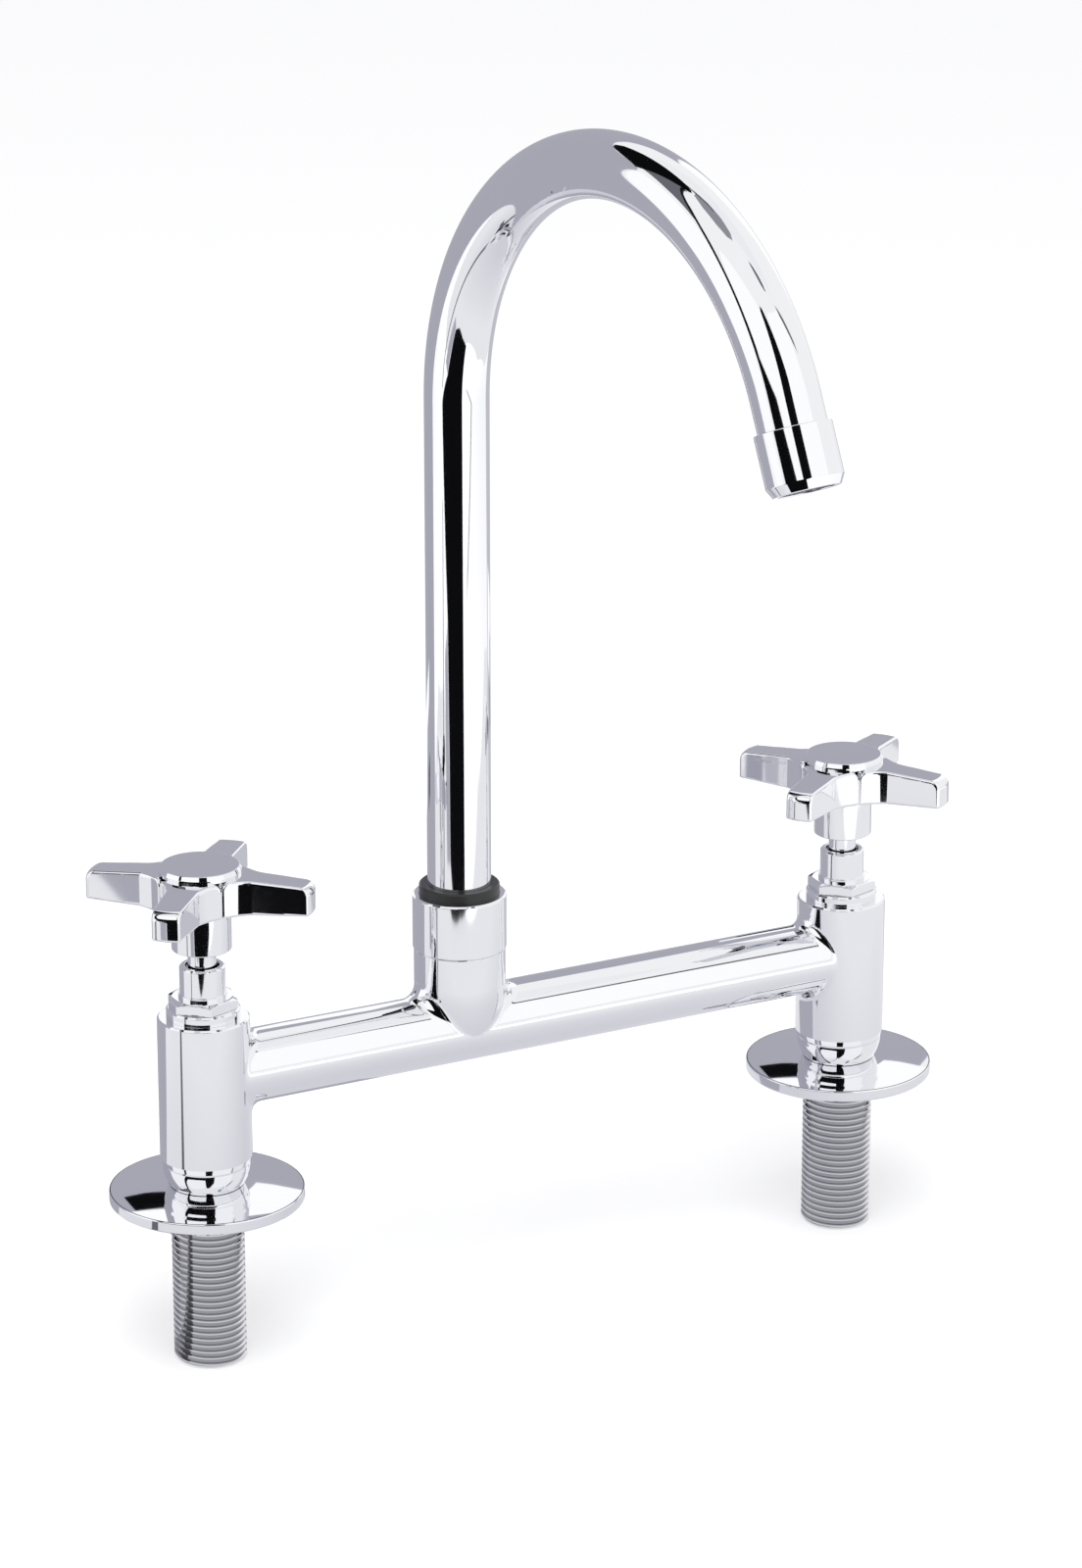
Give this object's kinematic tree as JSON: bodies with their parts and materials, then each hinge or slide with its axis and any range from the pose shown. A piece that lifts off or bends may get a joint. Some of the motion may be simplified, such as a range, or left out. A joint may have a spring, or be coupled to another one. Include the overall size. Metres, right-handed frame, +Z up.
{
  "type": "kitchen mixer tap",
  "caption": "Deck-mounted bridge mixer tap in chrome: cross bar between upright valves with cross handles, high swan-neck swivel spout, round cover flanges and threaded tails.",
  "frame": {"origin": "On the deck plane, which is the underside of both cover flanges, midway between the two threaded tails.", "axes": "+X along the cross bar from the left valve to the right one as the user sees them, -Y towards the user and the sink, +Z up along the valves and the riser."},
  "size_m": [0.254, 0.1861, 0.3437],
  "materials": {
    "chrome": "bright chrome plate on brass",
    "nickel": "dull nickel plate on threaded brass",
    "brass": "turned, bare",
    "steel": "bright stainless",
    "rubber": "black moulded rubber",
    "fibre": "red vulcanised fibre",
    "black_plastic": "black acetal, semi-matt",
    "pale_plastic": "pale acetal"
  },
  "bodies": {
    "base": {"bridge_casting": "chrome", "tail_left": "nickel", "tail_right": "nickel", "flange_left": "chrome", "flange_right": "chrome", "flange_seal_left": "rubber", "flange_seal_right": "rubber", "bonnet_left": "chrome", "bonnet_right": "chrome", "bonnet_washer_left": "fibre", "bonnet_washer_right": "fibre", "spout_collar": "chrome", "guide_ring": "black_plastic"},
    "swivel_spout": {"spout_tube": "chrome", "spout_foot": "brass", "spout_o_rings": "rubber", "spout_split_ring": "brass", "aerator_housing": "chrome", "aerator_washer": "rubber", "aerator_insert": "pale_plastic", "aerator_screen": "steel"},
    "left_handle": {"spindle_left": "chrome", "spindle_o_rings_left": "rubber", "spindle_clip_left": "steel", "handle_left": "chrome", "handle_screw_left": "steel", "index_disc_left": "chrome"},
    "left_plug": {"valve_plug_left": "brass", "plug_washer_left": "rubber", "plug_screw_left": "brass"},
    "right_handle": {"spindle_right": "chrome", "spindle_o_rings_right": "rubber", "spindle_clip_right": "steel", "handle_right": "chrome", "handle_screw_right": "steel", "index_disc_right": "chrome"},
    "right_plug": {"valve_plug_right": "brass", "plug_washer_right": "rubber", "plug_screw_right": "brass"}
  },
  "joints": [
    {"name": "spout_swivel", "type": "hinge", "parent": "base", "child": "swivel_spout", "pos_m": [-0.0226, 0, 0.07], "axis": [0, 0, 1], "continuous": true},
    {"name": "left_handle_turn", "type": "hinge", "parent": "base", "child": "left_handle", "pos_m": [-0.1, 0, 0.08], "axis": [0, 0, 1], "range_deg": [0, 540]},
    {"name": "left_plug_lift", "type": "slide", "parent": "base", "child": "left_plug", "axis": [0, 0, 1], "range_m": [0, 0.0045]},
    {"name": "right_handle_turn", "type": "hinge", "parent": "base", "child": "right_handle", "pos_m": [0.1, 0, 0.08], "axis": [0, 0, 1], "range_deg": [0, 540]},
    {"name": "right_plug_lift", "type": "slide", "parent": "base", "child": "right_plug", "axis": [0, 0, 1], "range_m": [0, 0.0045]}
  ],
  "couplings": [
    {"joint": "left_handle_turn", "follows": "left_plug_lift", "rad_per_m": 2094.4},
    {"joint": "right_handle_turn", "follows": "right_plug_lift", "rad_per_m": 2094.4}
  ]
}
